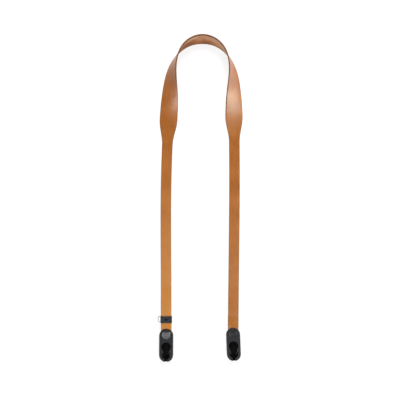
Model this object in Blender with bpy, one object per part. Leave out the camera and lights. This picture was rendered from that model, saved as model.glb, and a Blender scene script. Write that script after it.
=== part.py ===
"""Leather camera neck strap lying on a table, with a moulded socket clip at each end.

Metres, +Z up. The table is Z = 0, the clips point along -Y and the bend that goes
round the neck is at +Y. Run with blender --background --python part.py.
"""
import math

import bmesh
import bpy
from mathutils import Matrix, Vector

# Leather band
STRAP_WIDTH = 0.0194
SHOULDER_WIDTH = 0.0326
LEATHER_THICKNESS = 0.0025
LEATHER_EDGE = 0.0005
FIT_GAP = 0.0003

# Bend round the neck: the band stands on one edge there and twists down flat
BEND_TILT_DEG = 112.4
BEND_LENGTH = 0.1225
TWIST_EASE = 0.85
EDGE_LIFT = 0.0035
LIFTED_LENGTH = 0.135
TAPER_LENGTH = 0.046
STRAIGHTENING_LENGTH = 0.285

# The two halves, measured along the leather from the middle of the bend
HALVES = {
    "right": {
        "tight_length": 0.0225, "tight_share": 1.0, "splay_deg": -1.0, "leg_deg": 0.65,
        "twist_length": 0.2273, "taper_from": 0.1711, "leg_length": 0.5583, "clip_turn_deg": 2.1,
    },
    "left": {
        "tight_length": 0.0390, "tight_share": 0.75, "splay_deg": -3.55, "leg_deg": 0.27,
        "twist_length": 0.2115, "taper_from": 0.1778, "leg_length": 0.5606, "clip_turn_deg": -0.4,
    },
}

# Fold of the leather round each clip's bar, and the tail that lies under the leg
TAIL_LENGTH = 0.022
RAMP_LENGTH = 0.055
LOOP_SLACK = 0.0006

# Socket clips, moulded in black plastic
CLIP_WIDTH = 0.0258
CLIP_LENGTH = 0.0607
CLIP_BACK_ROUNDING = 0.0008
CLIP_FRONT_ROUNDING = 0.0016
FRONT_PLATE = 0.0024
CHANNEL_SIDE_GAP = 0.0007
CHANNEL_END_GAP = 0.0009
BAR_FROM_END = 0.0125
BAR_LENGTH = 0.0044
BAR_THICKNESS = 0.0032
BAR_ROOT = 0.001
SOCKET_FLOOR = 0.003
SOCKET_FROM_END = 0.0330
SOCKET_TRAVEL = 0.0146
ENTRY_RADIUS = 0.0087
SEAT_RADIUS = 0.0077
WAIST_WIDTH = 0.0124
LIP_THICKNESS = 0.0025
LIP_REACH = 0.001
ENTRY_RELIEF = 0.0002
EXIT_SLOT_WIDTH = 0.0048
EXIT_SILL = 0.0006
TONGUE_WIDTH = 0.011
TONGUE_SLIT = 0.0006
TONGUE_LENGTH = 0.021
PAD_WIDTH = 0.0092
PAD_LENGTH = 0.0175
PAD_HEIGHT = 0.0005
DISH_FROM_END = 0.0056
DISH_LENGTH = 0.0132
DISH_WIDTH = 0.0147
DISH_DEPTH = 0.0012

# Adjuster on the left leg: a saddle plate and the wire bail that runs under the leather
KEEPER_FROM_CLIP = 0.0107
KEEPER_LENGTH = 0.0121
PLATE_THICKNESS = 0.0011
FLANGE_THICKNESS = 0.0006
PLATE_ROUNDING = 0.0009
DIMPLE_LENGTH = 0.0056
DIMPLE_WIDTH = 0.0038
DIMPLE_DEPTH = 0.0004
BAIL_WIRE = 0.0011
BAIL_REACH = 0.0058
BAIL_INSET = 0.0013
BAIL_CORNER = 0.0016
BAIL_LIFT = 0.0007
KEEPER_TAIL_END = 0.0036

# Heights above the table that follow from the sizes above
TAIL_TOP = LEATHER_THICKNESS
BAR_BOTTOM = TAIL_TOP + FIT_GAP
STRAND_IN_CLIP = BAR_BOTTOM + BAR_THICKNESS + FIT_GAP
FRONT_UNDERSIDE = STRAND_IN_CLIP + LEATHER_THICKNESS + FIT_GAP
CLIP_THICKNESS = FRONT_UNDERSIDE + FRONT_PLATE
BAIL_HEIGHT = BAIL_LIFT + BAIL_WIRE / 2
TAIL_IN_KEEPER = BAIL_HEIGHT + BAIL_WIRE / 2 + FIT_GAP
STRAND_IN_KEEPER = TAIL_IN_KEEPER + LEATHER_THICKNESS + FIT_GAP
PLATE_UNDERSIDE = STRAND_IN_KEEPER + LEATHER_THICKNESS + FIT_GAP

LOOP_RADIUS = (STRAND_IN_CLIP - TAIL_TOP + LEATHER_THICKNESS) / 2
LOOP_CENTRE = BAR_FROM_END + (BAR_LENGTH - BAR_THICKNESS) / 2 + LOOP_SLACK
CHANNEL_LENGTH = LOOP_CENTRE + LOOP_RADIUS + LEATHER_THICKNESS / 2 + CHANNEL_END_GAP

STEP = 0.001
CURVE_POINTS = 14


def smooth(share):
    """Ease from 0 to 1."""
    share = min(max(share, 0.0), 1.0)
    return share * share * (3 - 2 * share)


def mix(start, end, share):
    return start + (end - start) * share


def make_material(name, colour, roughness, metallic=0.0):
    material = bpy.data.materials.new(name)
    material.use_nodes = True
    shader = material.node_tree.nodes["Principled BSDF"]
    shader.inputs["Base Color"].default_value = (*colour, 1.0)
    shader.inputs["Roughness"].default_value = roughness
    shader.inputs["Metallic"].default_value = metallic
    return material


def add_object(name, mesh_data, material=None):
    """Turn a finished bmesh into a scene object with outward faces."""
    bmesh.ops.recalc_face_normals(mesh_data, faces=mesh_data.faces)
    mesh = bpy.data.meshes.new(name)
    mesh_data.to_mesh(mesh)
    mesh_data.free()
    obj = bpy.data.objects.new(name, mesh)
    bpy.context.collection.objects.link(obj)
    if material:
        mesh.materials.append(material)
        mesh.shade_smooth()
        mesh.set_sharp_from_angle(angle=math.radians(35))
    return obj


def skin_rings(rings):
    """Closed body from rings that all have the same number of points."""
    mesh_data = bmesh.new()
    loops = [[mesh_data.verts.new(point) for point in ring] for ring in rings]
    count = len(rings[0])
    for below, above in zip(loops, loops[1:]):
        for i in range(count):
            j = (i + 1) % count
            mesh_data.faces.new((below[i], below[j], above[j], above[i]))
    mesh_data.faces.new(loops[0])
    mesh_data.faces.new(loops[-1])
    return mesh_data


def upright(outline, bottom, top):
    """Prism of a plan outline between two heights."""
    return skin_rings([[(x, y, z) for x, y in outline] for z in (bottom, top)])


def add_cutter(name, mesh_data, parent):
    cutter = add_object(name, mesh_data)
    cutter.hide_render = True
    cutter.display_type = "WIRE"
    cutter.parent = parent
    return cutter


def apply_boolean(target, tool, operation):
    modifier = target.modifiers.new(tool.name, "BOOLEAN")
    modifier.operation = operation
    modifier.object = tool


def arc(centre_x, centre_y, radius, start_deg, end_deg, count):
    angles = [math.radians(mix(start_deg, end_deg, i / count)) for i in range(count + 1)]
    return [(centre_x + radius * math.cos(a), centre_y + radius * math.sin(a)) for a in angles]


def stadium(length, width, count=CURVE_POINTS):
    """Outline with round ends, running from y = 0 down to y = -length."""
    radius = width / 2
    top = arc(0, -radius, radius, 0, 180, count)
    bottom = arc(0, radius - length, radius, 180, 360, count)
    return top + bottom


# The leather's route

def plan_route(half):
    """Plan position, heading and height at every STEP from the bend's middle to the clip."""
    tight = half["tight_length"]
    turn_end = BEND_LENGTH
    total = half["leg_length"] + BAR_FROM_END
    count = int(round(total / STEP))
    step = total / count

    def bend_at(along):
        if along <= tight:
            return 1.0
        easing = min((along - tight) / 0.01, 1.0)
        fading = min(max((along - tight - 0.01) / (turn_end - tight - 0.01), 0.0), 1.0)
        return mix(1.0, half["tight_share"], easing) * (1 - fading)

    shares = [0.0]
    for i in range(count):
        shares.append(shares[-1] + (bend_at(i * step) + bend_at((i + 1) * step)) / 2)
    full_turn = 90 + half["splay_deg"]
    settle = half["leg_deg"] - half["splay_deg"]

    stations = []
    x = 0.0
    y = 0.0
    last_height = None
    for i in range(count + 1):
        along = i * step
        turn = full_turn * shares[i] / shares[-1]
        turn += settle * smooth((along - turn_end) / STRAIGHTENING_LENGTH)
        twisted = min(along / half["twist_length"], 1.0) ** TWIST_EASE
        tilt = math.radians(BEND_TILT_DEG * (1 - smooth(twisted)))
        width = mix(SHOULDER_WIDTH, STRAP_WIDTH, smooth((along - half["taper_from"]) / TAPER_LENGTH))
        lift = EDGE_LIFT * math.sin(math.pi * min(along / LIFTED_LENGTH, 1.0)) ** 2
        height = lift + width / 2 * math.sin(tilt) + LEATHER_THICKNESS / 2 * abs(math.cos(tilt))
        rise = 0.0 if last_height is None else height - last_height
        run = math.sqrt(max(step * step - rise * rise, 0.0)) if i else 0.0
        angle = math.radians(turn)
        heading = (angle + stations[-1]["angle"]) / 2 if i else 0.0
        x += run * math.cos(heading)
        y -= run * math.sin(heading)
        last_height = height
        stations.append({
            "along": along, "point": Vector((x, y, height)), "angle": angle,
            "slope": rise / step, "tilt": tilt, "width": width,
        })
    return stations


def bend_sections(stations, until, shaped_length):
    """Band sections along the bend and the flat leg, down to the ramp before the clip."""
    sections = []
    next_at = 0.0
    for station in stations:
        along = station["along"]
        if along > until + STEP / 2:
            break
        if along + STEP / 2 < next_at:
            continue
        next_at = along + (0.005 if along < shaped_length else 0.024)
        level = math.sqrt(1 - station["slope"] ** 2)
        heading = Vector((math.cos(station["angle"]), -math.sin(station["angle"]), 0))
        forward = heading * level + Vector((0, 0, station["slope"]))
        inward = Vector((heading.y, -heading.x, 0))
        upward = inward.cross(forward).normalized()
        across = inward * math.cos(station["tilt"]) + upward * math.sin(station["tilt"])
        sections.append({
            "point": station["point"], "across": across,
            "normal": across.cross(forward).normalized(), "width": station["width"],
        })
    return sections


def end_profile(has_keeper):
    """Side view of one end as (distance past the clip's mouth, height) of the leather's middle."""
    middle = LEATHER_THICKNESS / 2
    if has_keeper:
        tail_end = KEEPER_FROM_CLIP + KEEPER_LENGTH + KEEPER_TAIL_END
        strand_level = STRAND_IN_KEEPER
        level_from = KEEPER_FROM_CLIP - 0.0014
        tail_level = TAIL_IN_KEEPER
    else:
        tail_end = TAIL_LENGTH
        strand_level = TAIL_TOP + FIT_GAP
        level_from = tail_end - 0.001
        tail_level = 0.0
    ramp_end = tail_end + 0.001

    def strand(distance):
        if distance > ramp_end:
            return strand_level * (1 - smooth((distance - ramp_end) / RAMP_LENGTH))
        return mix(STRAND_IN_CLIP, strand_level, smooth((distance - 0.001) / (level_from - 0.001)))

    def tail(distance):
        return tail_level * smooth((distance + 0.003) / (level_from + 0.003))

    points = []
    for i in range(13):
        distance = ramp_end + RAMP_LENGTH * (1 - i / 12)
        points.append((-distance, strand(distance) + middle))
    if has_keeper:
        points.append((-level_from, strand_level + middle))
    for i in range(1, 9):
        distance = level_from * (1 - i / 8)
        points.append((-distance, strand(distance) + middle))
    loop_height = TAIL_TOP - middle + LOOP_RADIUS
    for i in range(11):
        angle = math.radians(90 - 18 * i)
        points.append((LOOP_CENTRE + LOOP_RADIUS * math.cos(angle), loop_height + LOOP_RADIUS * math.sin(angle)))
    for i in range(8):
        distance = mix(-0.003, level_from, i / 7)
        points.append((-distance, tail(distance) + middle))
    points.append((-tail_end, tail_level + middle))
    return points, ramp_end + RAMP_LENGTH


def end_sections(mouth, heading, has_keeper):
    """Band sections of the ramp, the fold round the bar and the tail."""
    inward = Vector((heading.y, -heading.x, 0))
    profile, _ = end_profile(has_keeper)
    sections = []
    for i, (distance, height) in enumerate(profile):
        before = profile[max(i - 1, 0)]
        after = profile[min(i + 1, len(profile) - 1)]
        run = after[0] - before[0]
        rise = after[1] - before[1]
        normal = (heading * -rise + Vector((0, 0, run))).normalized()
        point = mouth + heading * distance + Vector((0, 0, height))
        sections.append({"point": point, "across": inward, "normal": normal, "width": STRAP_WIDTH})
    return sections


def band_ring(section):
    """Points round the leather's cross-section, its four edges bevelled."""
    half_width = section["width"] / 2
    half_thick = LEATHER_THICKNESS / 2
    bevel = min(LEATHER_EDGE, half_thick * 0.8)
    corners = []
    for side_w, side_t in ((1, 1), (1, -1), (-1, -1), (-1, 1)):
        on_face = (side_w * (half_width - bevel), side_t * half_thick)
        on_edge = (side_w * half_width, side_t * (half_thick - bevel))
        corners += [on_face, on_edge] if side_w == side_t else [on_edge, on_face]
    return [section["point"] + section["across"] * w + section["normal"] * t for w, t in corners]


def build_half(half, has_keeper):
    stations = plan_route(half)
    _, ramp_start = end_profile(has_keeper)
    shaped_length = max(half["twist_length"], half["taper_from"] + TAPER_LENGTH)
    sections = bend_sections(stations, half["leg_length"] - ramp_start - 0.012, shaped_length)
    last = stations[int(half["leg_length"] / stations[1]["along"])]
    heading = Vector((math.cos(last["angle"]), -math.sin(last["angle"]), 0))
    mouth = last["point"] + heading * (half["leg_length"] - last["along"])
    mouth.z = 0.0
    sections += end_sections(mouth, heading, has_keeper)
    return sections, mouth, heading


def mirrored(section):
    """The same section on the other half, seen from the right half's direction of travel."""
    def flip(vector):
        return Vector((-vector.x, vector.y, vector.z))
    return {
        "point": flip(section["point"]), "across": flip(section["across"]),
        "normal": flip(section["normal"]), "width": section["width"],
    }


# Clips

def rounded_stadium(length, width, thickness, back, front):
    """Stadium block with softly rounded back and front edges."""
    levels = [
        (0.0, back), (back * 0.29, back * 0.29), (back, 0.0),
        (thickness - front, 0.0), (thickness - front * 0.5, front * 0.134),
        (thickness - front * 0.134, front * 0.5), (thickness, front),
    ]
    rings = []
    for height, inset in levels:
        outline = stadium(length - 2 * inset, width - 2 * inset, 18)
        rings.append([(x, y - inset, height) for x, y in outline])
    return skin_rings(rings)


def box_outline(x_min, x_max, y_min, y_max):
    return [(x_min, y_min), (x_max, y_min), (x_max, y_max), (x_min, y_max)]


def keyhole_outline():
    """Entry circle and seat circle joined by a straight waist, as one outline."""
    half_waist = WAIST_WIDTH / 2
    entry_y = -SOCKET_FROM_END
    seat_y = entry_y - SOCKET_TRAVEL
    entry_deg = math.degrees(math.asin(min(half_waist / ENTRY_RADIUS, 0.98)))
    seat_deg = math.degrees(math.asin(min(half_waist / SEAT_RADIUS, 0.98)))
    entry = arc(0, entry_y, ENTRY_RADIUS, entry_deg - 90, 270 - entry_deg, 22)
    seat = arc(0, seat_y, SEAT_RADIUS, 90 + seat_deg, 450 - seat_deg, 20)
    return entry + seat


def undercut_outline():
    """Hull of the entry and seat circles, widened by the lips' reach."""
    entry_y = -SOCKET_FROM_END
    entry_radius = ENTRY_RADIUS + ENTRY_RELIEF
    seat_radius = SEAT_RADIUS + LIP_REACH
    lean = math.degrees(math.asin((entry_radius - seat_radius) / SOCKET_TRAVEL))
    entry = arc(0, entry_y, entry_radius, -lean, 180 + lean, 20)
    seat = arc(0, entry_y - SOCKET_TRAVEL, seat_radius, 180 + lean, 360 - lean, 20)
    return entry + seat


def dish_rings():
    """Shallow thumb dish: straight top edge, sides that close in to a round bottom."""
    half = DISH_WIDTH / 2
    corner = half * 0.35
    outline = arc(half - corner, -corner, corner, 0, 90, 4)
    outline += arc(corner - half, -corner, corner, 90, 180, 4)
    straight = DISH_LENGTH - half
    outline += arc(0, -straight, half, 180, 360, 14)
    middle_y = -DISH_LENGTH * 0.47
    rings = []
    for scale, depth in ((1.0, -0.6), (1.0, 0.0), (0.9, 0.42), (0.74, 0.75), (0.5, 0.94), (0.2, 1.0)):
        rings.append([
            (x * scale, middle_y + (y - middle_y) * scale - DISH_FROM_END, CLIP_THICKNESS - depth * DISH_DEPTH)
            for x, y in outline
        ])
    return rings


def slit_outline():
    """U-shaped slit that frees the spring tongue on both sides and at its tip."""
    outer = TONGUE_WIDTH / 2 + TONGUE_SLIT
    inner = TONGUE_WIDTH / 2
    top = -SOCKET_FROM_END + ENTRY_RADIUS * 0.35
    tip = top - TONGUE_LENGTH
    return [
        (-outer, top), (-outer, tip - TONGUE_SLIT), (outer, tip - TONGUE_SLIT), (outer, top),
        (inner, top), (inner, tip), (-inner, tip), (-inner, top),
    ]


def pad_outline():
    half = PAD_WIDTH / 2
    corner = half * 0.3
    top = -SOCKET_FROM_END + ENTRY_RADIUS * 0.35 - 0.001
    bottom = top - PAD_LENGTH
    outline = arc(half - corner, top - corner, corner, 0, 90, 3)
    outline += arc(corner - half, top - corner, corner, 90, 180, 3)
    outline += arc(corner - half, bottom + corner, corner, 180, 270, 3)
    outline += arc(half - corner, bottom + corner, corner, 270, 360, 3)
    return outline


def bar_rings():
    """Rounded bar across the strap channel, its ends rooted in both side walls."""
    half_thick = BAR_THICKNESS / 2
    height = BAR_BOTTOM + half_thick
    offset = (BAR_LENGTH - BAR_THICKNESS) / 2
    section = arc(offset, height, half_thick, -90, 90, 6) + arc(-offset, height, half_thick, 90, 270, 6)
    reach = STRAP_WIDTH / 2 + CHANNEL_SIDE_GAP + BAR_ROOT
    return [[(x, y - BAR_FROM_END, z) for y, z in section] for x in (-reach, reach)]


def build_clip(name, material):
    body = add_object(
        name,
        rounded_stadium(CLIP_LENGTH, CLIP_WIDTH, CLIP_THICKNESS, CLIP_BACK_ROUNDING, CLIP_FRONT_ROUNDING),
        material,
    )
    half_channel = STRAP_WIDTH / 2 + CHANNEL_SIDE_GAP
    socket_top = CLIP_THICKNESS - LIP_THICKNESS
    half_slot = EXIT_SLOT_WIDTH / 2
    seat_y = -SOCKET_FROM_END - SOCKET_TRAVEL
    cuts = {
        "channel": upright(
            box_outline(-half_channel, half_channel, -CHANNEL_LENGTH, 0.001), -0.001, FRONT_UNDERSIDE),
        "undercut": upright(undercut_outline(), SOCKET_FLOOR, socket_top),
        "keyhole": upright(keyhole_outline(), (SOCKET_FLOOR + socket_top) / 2, CLIP_THICKNESS + 0.001),
        "exit_slot": upright(
            box_outline(-half_slot, half_slot, -CLIP_LENGTH - 0.001, seat_y),
            SOCKET_FLOOR + EXIT_SILL, CLIP_THICKNESS + 0.001),
        "tongue_slit": upright(slit_outline(), -0.001, SOCKET_FLOOR + 0.001),
        "thumb_dish": skin_rings(dish_rings()),
    }
    adds = {
        "bar": skin_rings(bar_rings()),
        "pad": upright(pad_outline(), SOCKET_FLOOR - 0.0006, SOCKET_FLOOR + PAD_HEIGHT),
    }
    for tool_name in ("channel", "bar", "undercut", "keyhole", "exit_slot", "tongue_slit", "pad", "thumb_dish"):
        shape = cuts.get(tool_name) or adds.get(tool_name)
        tool = add_cutter(name + "_" + tool_name, shape, body)
        apply_boolean(body, tool, "DIFFERENCE" if tool_name in cuts else "UNION")
    return body


def place_clip(body, mouth, heading, turn_deg):
    """Seat the clip's bar in the fold of the leather, turned a little about the bar."""
    bar = mouth + heading * BAR_FROM_END
    turn = Matrix.Rotation(math.radians(turn_deg), 4, "Z")
    body.matrix_world = Matrix.Translation(bar) @ turn @ Matrix.Translation((0, BAR_FROM_END, 0))


# Adjuster

def plate_outline():
    """Section of the saddle plate, an arch with two flanges that stand on the table."""
    inner = STRAP_WIDTH / 2 + FIT_GAP
    outer = inner + FLANGE_THICKNESS
    top = PLATE_UNDERSIDE + PLATE_THICKNESS
    shoulder = PLATE_ROUNDING
    outside = [(outer, 0.0)] + arc(outer - shoulder, top - shoulder, shoulder, 0, 90, 5)
    outside += arc(shoulder - outer, top - shoulder, shoulder, 90, 180, 5) + [(-outer, 0.0)]
    inside = [(-inner, 0.0), (-inner, PLATE_UNDERSIDE), (inner, PLATE_UNDERSIDE), (inner, 0.0)]
    return outside + inside


def build_plate(material):
    half = KEEPER_LENGTH / 2
    section = plate_outline()
    plate = add_object("keeper_plate", skin_rings([[(x, y, z) for x, z in section] for y in (-half, half)]), material)
    reach = STRAP_WIDTH / 2 + FIT_GAP + FLANGE_THICKNESS + 0.001
    hole = arc(0, 0, BAIL_WIRE / 2 + FIT_GAP, 0, 337.5, 15)
    for side, label in ((1, "near"), (-1, "far")):
        centre_y = side * (half - BAIL_INSET)
        rings = [[(x, centre_y + y, BAIL_HEIGHT + z) for y, z in hole] for x in (-reach, reach)]
        tool = add_cutter("keeper_hole_" + label, skin_rings(rings), plate)
        apply_boolean(plate, tool, "DIFFERENCE")
    top = PLATE_UNDERSIDE + PLATE_THICKNESS
    rings = []
    for scale, depth in ((1.0, -0.5), (1.0, 0.0), (0.8, 0.6), (0.45, 1.0)):
        outline = arc(0, 0, 1, 0, 340, 17)
        rings.append([
            (x * scale * DIMPLE_LENGTH / 2, y * scale * DIMPLE_WIDTH / 2, top - depth * DIMPLE_DEPTH)
            for x, y in outline
        ])
    tool = add_cutter("keeper_dimple", skin_rings(rings), plate)
    apply_boolean(plate, tool, "DIFFERENCE")
    return plate


def build_bail(material):
    """U of round wire: both ends sit in the plate's inner flange, the bow stands clear outside."""
    half_span = KEEPER_LENGTH / 2 - BAIL_INSET
    far = -(STRAP_WIDTH / 2 + BAIL_REACH - BAIL_WIRE / 2)
    near = STRAP_WIDTH / 2 + FIT_GAP + FLANGE_THICKNESS
    route = [(near, half_span)]
    route += arc(far + BAIL_CORNER, half_span - BAIL_CORNER, BAIL_CORNER, 90, 180, 5)
    route += arc(far + BAIL_CORNER, BAIL_CORNER - half_span, BAIL_CORNER, 180, 270, 5)
    route += [(near, -half_span)]
    rings = []
    for i, (x, y) in enumerate(route):
        before = Vector(route[max(i - 1, 0)])
        after = Vector(route[min(i + 1, len(route) - 1)])
        along = (after - before).normalized()
        side = Vector((-along.y, along.x))
        ring = []
        for k in range(10):
            angle = 2 * math.pi * k / 10
            out = side * math.cos(angle) * BAIL_WIRE / 2
            ring.append((x + out.x, y + out.y, BAIL_HEIGHT + math.sin(angle) * BAIL_WIRE / 2))
        rings.append(ring)
    return add_object("keeper_bail", skin_rings(rings), material)


def main():
    for obj in list(bpy.data.objects):
        bpy.data.objects.remove(obj, do_unlink=True)

    leather = make_material("tan_leather", (0.48, 0.20, 0.07), 0.5)
    moulded = make_material("black_moulded_plastic", (0.018, 0.018, 0.019), 0.45)
    gunmetal = make_material("dark_metal_plate", (0.06, 0.063, 0.07), 0.4, 0.7)
    wire = make_material("plain_steel_wire", (0.45, 0.46, 0.47), 0.3, 1.0)

    right, right_mouth, right_heading = build_half(HALVES["right"], False)
    left, left_mouth, left_heading = build_half(HALVES["left"], True)
    sections = [mirrored(section) for section in reversed(left[1:])] + right
    left_mouth.x = -left_mouth.x
    left_heading.x = -left_heading.x

    strap = add_object("strap", skin_rings([band_ring(section) for section in sections]), leather)
    clip_left = build_clip("clip_left", moulded)
    clip_right = build_clip("clip_right", moulded)
    place_clip(clip_left, left_mouth, left_heading, HALVES["left"]["clip_turn_deg"])
    place_clip(clip_right, right_mouth, right_heading, HALVES["right"]["clip_turn_deg"])

    plate = build_plate(gunmetal)
    bail = build_bail(wire)
    middle = left_mouth - left_heading * (KEEPER_FROM_CLIP + KEEPER_LENGTH / 2)
    turn = math.atan2(left_heading.x, -left_heading.y)
    for piece in (plate, bail):
        piece.matrix_world = Matrix.Translation(middle) @ Matrix.Rotation(turn, 4, "Z")

    # Origin under the middle of the part's box
    bpy.context.view_layer.update()
    pieces = (strap, clip_left, clip_right, plate, bail)
    points = [obj.matrix_world @ vertex.co for obj in pieces for vertex in obj.data.vertices]
    middle_x = (min(p.x for p in points) + max(p.x for p in points)) / 2
    middle_y = (min(p.y for p in points) + max(p.y for p in points)) / 2
    floor = min(p.z for p in points)
    for obj in pieces:
        obj.matrix_world = Matrix.Translation((-middle_x, -middle_y, -floor)) @ obj.matrix_world


main()
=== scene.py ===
import math

import bmesh
import bpy
from mathutils import Matrix, Vector


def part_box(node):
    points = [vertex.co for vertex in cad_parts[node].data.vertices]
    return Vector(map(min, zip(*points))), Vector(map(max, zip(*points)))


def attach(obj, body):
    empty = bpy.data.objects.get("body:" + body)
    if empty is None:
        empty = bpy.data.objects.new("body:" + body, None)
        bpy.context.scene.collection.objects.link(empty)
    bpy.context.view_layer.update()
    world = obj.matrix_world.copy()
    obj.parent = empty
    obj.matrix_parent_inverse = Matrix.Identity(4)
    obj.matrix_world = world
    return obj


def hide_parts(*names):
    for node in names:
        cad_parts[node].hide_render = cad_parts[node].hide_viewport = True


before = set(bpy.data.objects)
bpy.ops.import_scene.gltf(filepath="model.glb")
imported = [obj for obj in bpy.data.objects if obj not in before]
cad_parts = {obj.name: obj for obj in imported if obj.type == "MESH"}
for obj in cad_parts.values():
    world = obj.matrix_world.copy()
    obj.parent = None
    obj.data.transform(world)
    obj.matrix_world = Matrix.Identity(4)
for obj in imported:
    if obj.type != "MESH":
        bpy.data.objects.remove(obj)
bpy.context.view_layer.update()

scene = bpy.context.scene
print("strap scene: frame loaded")


# Small helpers

# sRGB hex to the linear colour that a socket takes
def linearColour(hexCode):
    channels = [int(hexCode[i:i + 2], 16) / 255 for i in (1, 3, 5)]
    linear = [c / 12.92 if c <= 0.04045 else ((c + 0.055) / 1.055) ** 2.4 for c in channels]
    return (*linear, 1.0)


# adds a node with its settings; an input is a value, or a socket to link from
def addNode(tree, kind, settings=None, inputs=None):
    node = tree.nodes.new(kind)
    for name, value in (settings or {}).items():
        if name == "stops":  # a colour ramp's stops as (position, hex or grey)
            stops = node.color_ramp.elements
            while len(stops) > 1:
                stops.remove(stops[-1])
            for i, (position, shade) in enumerate(value):
                stop = stops[0] if i == 0 else stops.new(position)
                stop.position = position
                stop.color = linearColour(shade) if isinstance(shade, str) else (shade, shade, shade, 1)
        else:
            setattr(node, name, value)
    for name, value in (inputs or {}).items():
        if isinstance(value, bpy.types.NodeSocket):
            tree.links.new(value, node.inputs[name])
        else:
            node.inputs[name].default_value = value
    return node


def newMaterial(name):
    material = bpy.data.materials.new(name)
    material.use_nodes = True
    tree = material.node_tree
    return material, tree, tree.nodes["Principled BSDF"]


def smoothStep(share):
    share = min(max(share, 0.0), 1.0)
    return share * share * (3 - 2 * share)


def mixValue(start, end, share):
    return start + (end - start) * share


def arcPoints(centreX, centreY, radius, startDeg, endDeg, count):
    angles = [math.radians(mixValue(startDeg, endDeg, i / count)) for i in range(count + 1)]
    return [(centreX + radius * math.cos(a), centreY + radius * math.sin(a)) for a in angles]


# Camera, floor and light

view = {
    "cameraAt": (-0.00054, -0.00215, 2.0),  # straight above the strap, as in the photo
    "fieldWidth": 0.7344,                  # metres of table across the frame
    "floorSide": 12, "floorDrop": 0.0004, "floorHex": "#7C7C7C", "floorGlow": 0.84,
    "hotFrom": 0.07, "hotTo": 0.12, "hotGlow": 2.8,  # the table is brighter on the tall box's side
    # ovals under the clips without glow, and the shares of their radii where it comes back
    "ovals": ((-0.0624, -0.2680), (0.0608, -0.2662)), "ovalRadii": (0.0129, 0.0303),
    "ovalFrom": 0.86, "ovalTo": 0.97,
    "zenithHex": "#3C3C3E", "zenithFrom": 0.85, "horizonHex": "#B9BABB", "horizonTo": 0.25,
}

cameraData = bpy.data.cameras.new("overheadCamera")
cameraData.sensor_width = 36
cameraData.lens = 36 * view["cameraAt"][2] / view["fieldWidth"]
cameraData.clip_start = 0.05
cameraData.clip_end = 20
overheadCamera = bpy.data.objects.new("overheadCamera", cameraData)
overheadCamera.location = view["cameraAt"]
scene.collection.objects.link(overheadCamera)
scene.camera = overheadCamera

# the two fills give the even light, the back box light and shine, and the others only shine;
# the tall one is a little cool, or its shine on the tan leather would turn pink
softBoxes = {
    "frontFill": {"at": (0.50, -1.28, 1.20), "size": (0.5, 0.5), "watts": 15.2, "gives": "light"},
    "backFill": {"at": (0.15, 1.35, 1.20), "size": (0.5, 0.5), "watts": 18.8, "gives": "light"},
    "rightTall": {"at": (1.595, -0.224, 1.007), "size": (1.05, 1.69), "watts": 59.0, "gives": "shine",
                  "hex": "#E0F8F4"},
    "rightLow": {"at": (1.90, -0.25, 0.42), "size": (1.20, 0.70), "watts": 10.0, "gives": "shine"},
    "leftBox": {"at": (-1.18, -0.99, 1.00), "size": (0.60, 1.15), "watts": 60.0, "gives": "shine"},
    "frontHigh": {"at": (0.264, -0.726, 1.736), "size": (0.9, 0.9), "watts": 8.0, "gives": "shine"},
    "backBox": {"at": (0.0, 1.45, 1.60), "size": (0.8, 0.45), "watts": 21.0, "gives": "both"},
}
for name, box in softBoxes.items():
    lightData = bpy.data.lights.new(name, "AREA")
    lightData.shape = "RECTANGLE"
    lightData.size, lightData.size_y = box["size"]
    lightData.energy = box["watts"]
    lightData.color = linearColour(box.get("hex", "#FFFFFF"))[:3]
    light = bpy.data.objects.new(name, lightData)
    light.location = box["at"]
    light.rotation_euler = (-Vector(box["at"])).to_track_quat("-Z", "Y").to_euler()
    light.visible_camera = False
    light.visible_diffuse = box["gives"] != "shine"
    light.visible_glossy = box["gives"] != "light"
    scene.collection.objects.link(light)

world = bpy.data.worlds.new("paleStudio")
scene.world = world
world.use_nodes = True
# a dim ceiling over pale walls, so that flat black faces stay black and rims stand out
worldPlace = addNode(world.node_tree, "ShaderNodeTexCoord")
worldAxes = addNode(world.node_tree, "ShaderNodeSeparateXYZ", None, {
    "Vector": worldPlace.outputs["Generated"]})
ceiling = addNode(world.node_tree, "ShaderNodeValToRGB", {"stops": [
    (view["horizonTo"], view["horizonHex"]), (view["zenithFrom"], view["zenithHex"])]},
    {"Fac": worldAxes.outputs["Z"]})
world.node_tree.links.new(ceiling.outputs["Color"], world.node_tree.nodes["Background"].inputs["Color"])
scene.view_settings.view_transform = "Standard"

floorMaterial, floorTree, floorShader = newMaterial("paleStudioFloor")
floorShader.inputs["Base Color"].default_value = linearColour(view["floorHex"])
floorShader.inputs["Roughness"].default_value = 0.9
floorShader.inputs["Specular IOR Level"].default_value = 0.1
floorShader.inputs["Emission Color"].default_value = linearColour("#FFFFFF")
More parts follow.
